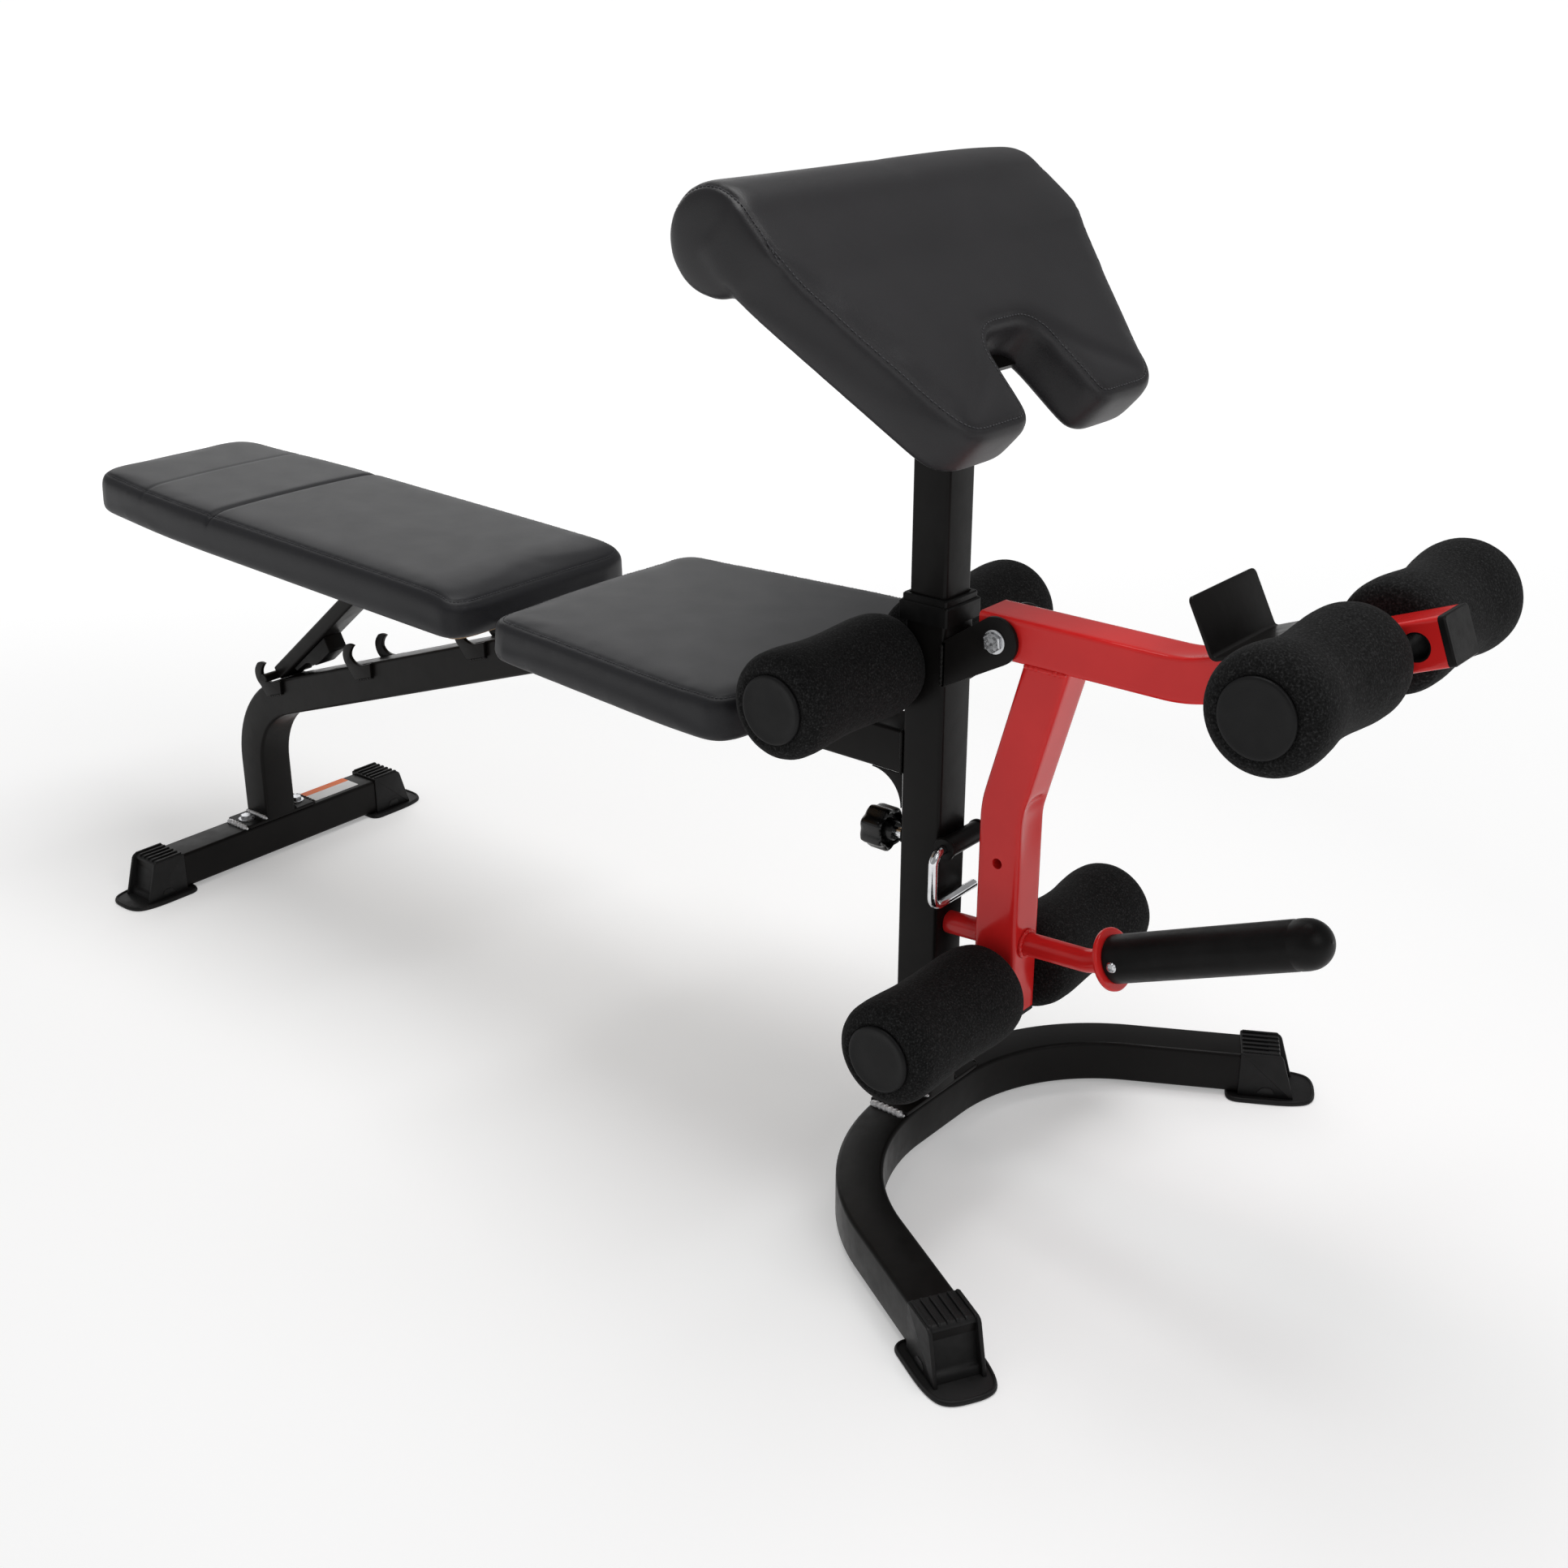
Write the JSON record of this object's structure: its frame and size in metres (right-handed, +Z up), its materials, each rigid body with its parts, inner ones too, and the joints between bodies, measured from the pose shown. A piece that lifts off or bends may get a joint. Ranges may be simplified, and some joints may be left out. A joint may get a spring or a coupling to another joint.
{
  "type": "adjustable exercise bench",
  "caption": "Flat-incline-decline bench with padded back and seat, arm-curl pad on a sliding post, foam rollers and a red hinged leg developer with weight sleeve.",
  "frame": {"origin": "on the floor, under the middle of the whole bench's box", "axes": "+X along the bench towards the leg developer, +Y across the bench, +Z up"},
  "size_m": [1.8738, 0.7396, 1.0458],
  "materials": {
    "black_paint": "satin",
    "red_paint": "gloss",
    "black_rubber": "matte",
    "black_foam": "matte",
    "black_plastic": "satin",
    "grey_hide": "satin",
    "plywood": "matte",
    "zinc_steel": "polished"
  },
  "bodies": {
    "frame": {"rear_base_tube": "black_paint", "rear_cap_near": "black_rubber", "rear_cap_far": "black_rubber", "front_base_tube": "black_paint", "front_cap_near": "black_rubber", "front_cap_far": "black_rubber", "main_rail": "black_paint", "front_post": "black_paint", "rear_bolt_near": "zinc_steel", "rear_bolt_far": "zinc_steel", "front_bolt_near": "zinc_steel", "front_bolt_far": "zinc_steel", "post_collar": "black_plastic", "hook_1_near": "black_paint", "hook_1_far": "black_paint", "hook_2_near": "black_paint", "hook_2_far": "black_paint", "hook_3_near": "black_paint", "hook_3_far": "black_paint", "seat_board": "plywood", "seat_cushion": "grey_hide", "seat_bracket": "black_paint", "seat_roller_bar": "black_paint", "hinge_bolt": "zinc_steel", "pivot_bracket": "black_paint", "pivot_bolt": "zinc_steel", "pivot_nut": "zinc_steel"},
    "backrest": {"back_board": "plywood", "back_cushion": "grey_hide", "back_frame": "black_paint", "strut_bolt": "zinc_steel"},
    "strut": {"strut": "black_paint", "strut_guard": "black_plastic"},
    "leg_developer": {"leg_arm": "red_paint", "arm_end_plug": "black_plastic", "bar_catch": "black_paint", "leg_down_tube": "red_paint", "down_tube_plug": "black_plastic", "arm_roller_bar": "black_paint", "shin_roller_bar": "black_paint", "weight_bar": "red_paint", "weight_sleeve": "black_plastic"},
    "lock_pin": {"lock_pin": "zinc_steel"},
    "height_knob": {"height_knob": "black_plastic"},
    "arm_curl_pad": {"curl_pad": "grey_hide", "curl_board": "plywood", "curl_bracket": "black_paint", "curl_post": "black_paint"},
    "seat_roller_near": {"seat_roller_near_foam": "black_foam", "seat_roller_near_disc": "black_plastic"},
    "seat_roller_far": {"seat_roller_far_foam": "black_foam", "seat_roller_far_disc": "black_plastic"},
    "arm_roller_near": {"arm_roller_near_foam": "black_foam", "arm_roller_near_disc": "black_plastic"},
    "arm_roller_far": {"arm_roller_far_foam": "black_foam", "arm_roller_far_disc": "black_plastic"},
    "shin_roller_near": {"shin_roller_near_foam": "black_foam", "shin_roller_near_disc": "black_plastic"},
    "shin_roller_far": {"shin_roller_far_foam": "black_foam", "shin_roller_far_disc": "black_plastic"}
  },
  "joints": [
    {"name": "back_recline", "type": "hinge", "parent": "frame", "child": "backrest", "pos_m": [-0.18018, 0, 0.484], "axis": [0, 1, 0], "range_deg": [0, 78]},
    {"name": "strut_swing", "type": "hinge", "parent": "backrest", "child": "strut", "pos_m": [-0.47118, 0, 0.491], "axis": [0, -1, 0], "range_deg": [0, 116.5]},
    {"name": "leg_swing", "type": "hinge", "parent": "frame", "child": "leg_developer", "pos_m": [0.48282, 0, 0.606], "axis": [0, -1, 0], "range_deg": [0, 54]},
    {"name": "pad_height", "type": "slide", "parent": "frame", "child": "arm_curl_pad", "axis": [0, 0, 1], "range_m": [-0.06, 0.08]},
    {"name": "pin_pull", "type": "slide", "parent": "frame", "child": "lock_pin", "axis": [0, -1, 0], "range_m": [0, 0.075]},
    {"name": "knob_turn", "type": "hinge", "parent": "frame", "child": "height_knob", "pos_m": [0.34982, 0, 0.353], "axis": [-1, 0, 0], "range_deg": [0, 720]},
    {"name": "seat_spin_near", "type": "hinge", "parent": "frame", "child": "seat_roller_near", "pos_m": [0.35082, 0, 0.556], "axis": [0, 1, 0], "continuous": true},
    {"name": "seat_spin_far", "type": "hinge", "parent": "frame", "child": "seat_roller_far", "pos_m": [0.35082, 0, 0.556], "axis": [0, 1, 0], "continuous": true},
    {"name": "arm_spin_near", "type": "hinge", "parent": "leg_developer", "child": "arm_roller_near", "pos_m": [0.85322, 0, 0.6726], "axis": [0, 1, 0], "continuous": true},
    {"name": "arm_spin_far", "type": "hinge", "parent": "leg_developer", "child": "arm_roller_far", "pos_m": [0.85322, 0, 0.6726], "axis": [0, 1, 0], "continuous": true},
    {"name": "shin_spin_near", "type": "hinge", "parent": "leg_developer", "child": "shin_roller_near", "pos_m": [0.49282, 0, 0.227], "axis": [0, 1, 0], "continuous": true},
    {"name": "shin_spin_far", "type": "hinge", "parent": "leg_developer", "child": "shin_roller_far", "pos_m": [0.49282, 0, 0.227], "axis": [0, 1, 0], "continuous": true}
  ],
  "couplings": [
    {"joint": "strut_swing", "follows": "back_recline", "ratio": 1.4917}
  ]
}
